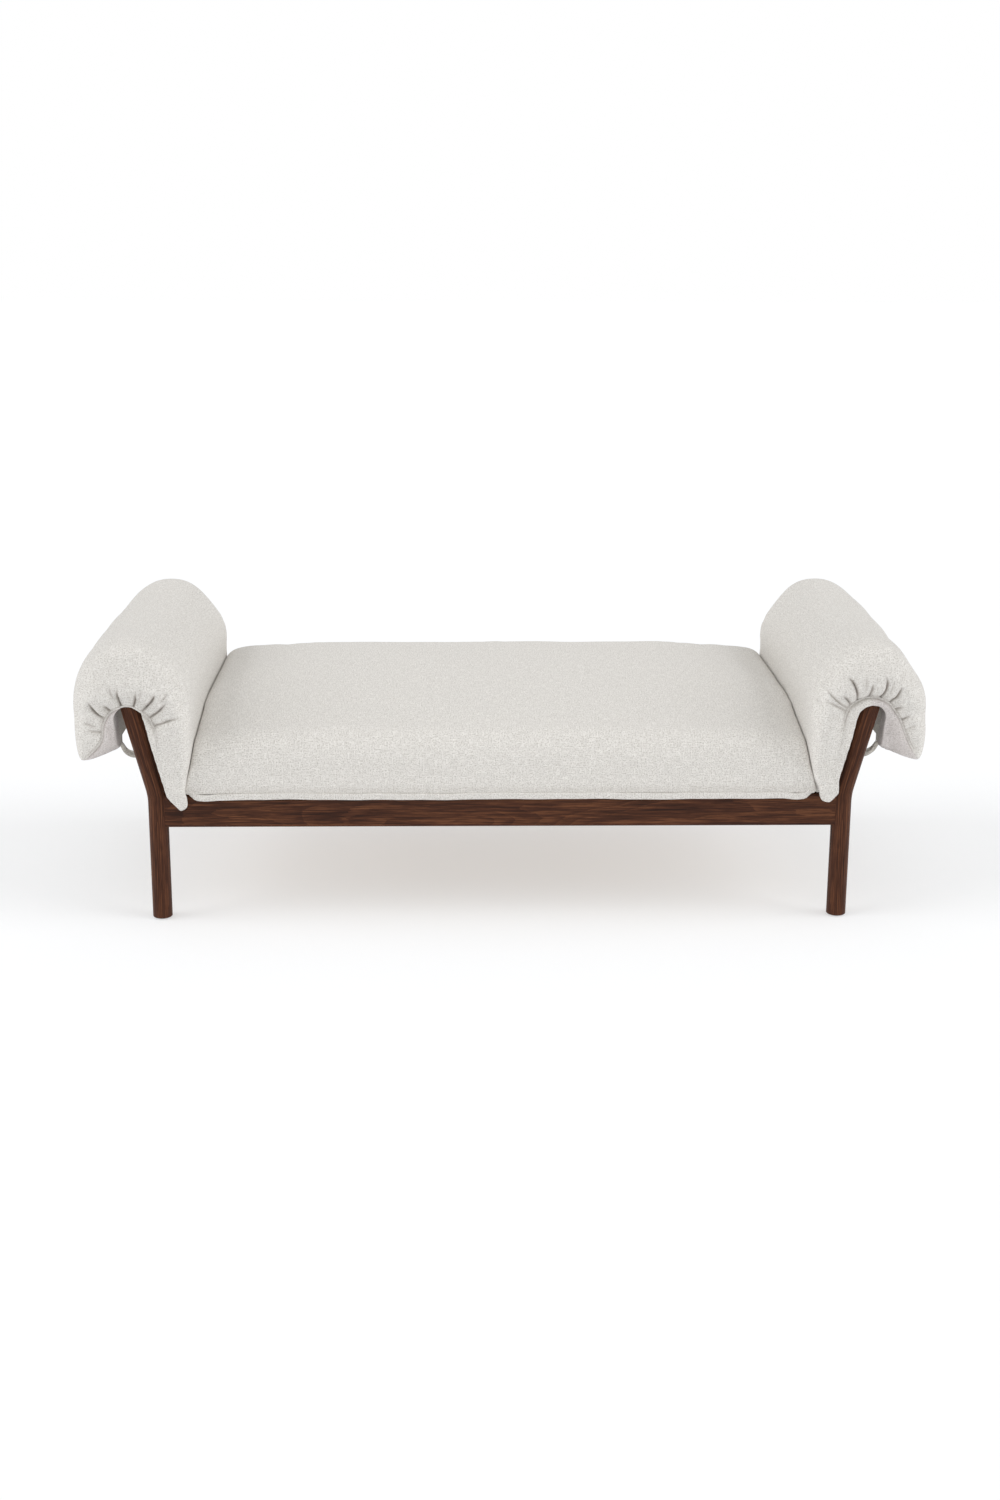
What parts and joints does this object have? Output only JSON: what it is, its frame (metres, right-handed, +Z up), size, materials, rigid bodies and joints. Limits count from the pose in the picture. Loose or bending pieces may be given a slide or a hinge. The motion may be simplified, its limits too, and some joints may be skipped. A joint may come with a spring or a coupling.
{
  "type": "daybed",
  "caption": "Backless daybed: bent round wooden legs, slatted timber deck, loose crowned seat cushion and thick arm pads saddled over the end bars and tied beneath.",
  "frame": {"origin": "on the floor, midway between the four feet", "axes": "+X along the bed towards its right end as seen from the front, +Y to the back, +Z up"},
  "size_m": [1.9, 0.832, 0.645],
  "materials": {
    "stained_wood": "dark walnut stain under a satin clear coat, open grain",
    "plain_wood": "unfinished planed softwood",
    "linen": "matt oatmeal linen, plain weave with slubs",
    "linen_trim": "the same linen, doubled and stitched",
    "foam": "foam core in a light wadding wrap",
    "steel": "zinc plated wood screws",
    "glide": "dark nylon"
  },
  "bodies": {
    "frame": {"cleat_screws": "steel", "corner_block_screws": "steel", "front_cleat": "plain_wood", "front_left_corner_block": "plain_wood", "front_left_glide": "glide", "front_left_leg": "stained_wood", "front_rail": "stained_wood", "front_right_corner_block": "plain_wood", "front_right_glide": "glide", "front_right_leg": "stained_wood", "left_arm_bar": "stained_wood", "left_end_rail": "stained_wood", "middle_stretcher": "plain_wood", "rear_cleat": "plain_wood", "rear_left_corner_block": "plain_wood", "rear_left_glide": "glide", "rear_left_leg": "stained_wood", "rear_rail": "stained_wood", "rear_right_corner_block": "plain_wood", "rear_right_glide": "glide", "rear_right_leg": "stained_wood", "right_arm_bar": "stained_wood", "right_end_rail": "stained_wood", "slat_01": "plain_wood", "slat_02": "plain_wood", "slat_03": "plain_wood", "slat_04": "plain_wood", "slat_05": "plain_wood", "slat_06": "plain_wood", "slat_07": "plain_wood", "slat_08": "plain_wood", "slat_09": "plain_wood", "slat_10": "plain_wood", "slat_11": "plain_wood", "slat_12": "plain_wood", "slat_13": "plain_wood", "slat_screws": "steel"},
    "seat_cushion": {"seat_cover": "linen", "seat_filling": "foam", "seat_welt": "linen"},
    "left_arm_pad": {"left_front_gathered_hem": "linen_trim", "left_front_tie": "linen_trim", "left_pad_cover": "linen", "left_pad_filling": "foam", "left_rear_gathered_hem": "linen_trim", "left_rear_tie": "linen_trim"},
    "right_arm_pad": {"right_front_gathered_hem": "linen_trim", "right_front_tie": "linen_trim", "right_pad_cover": "linen", "right_pad_filling": "foam", "right_rear_gathered_hem": "linen_trim", "right_rear_tie": "linen_trim"}
  },
  "joints": [
    {"name": "seat_cushion_lift", "type": "slide", "parent": "frame", "child": "seat_cushion", "axis": [0, 0, 1], "range_m": [0, 0.4]},
    {"name": "left_arm_pad_lift", "type": "slide", "parent": "frame", "child": "left_arm_pad", "axis": [-0.2504, 0, 0.9681], "range_m": [0, 0.1]},
    {"name": "right_arm_pad_lift", "type": "slide", "parent": "frame", "child": "right_arm_pad", "axis": [0.2504, 0, 0.9681], "range_m": [0, 0.1]}
  ]
}
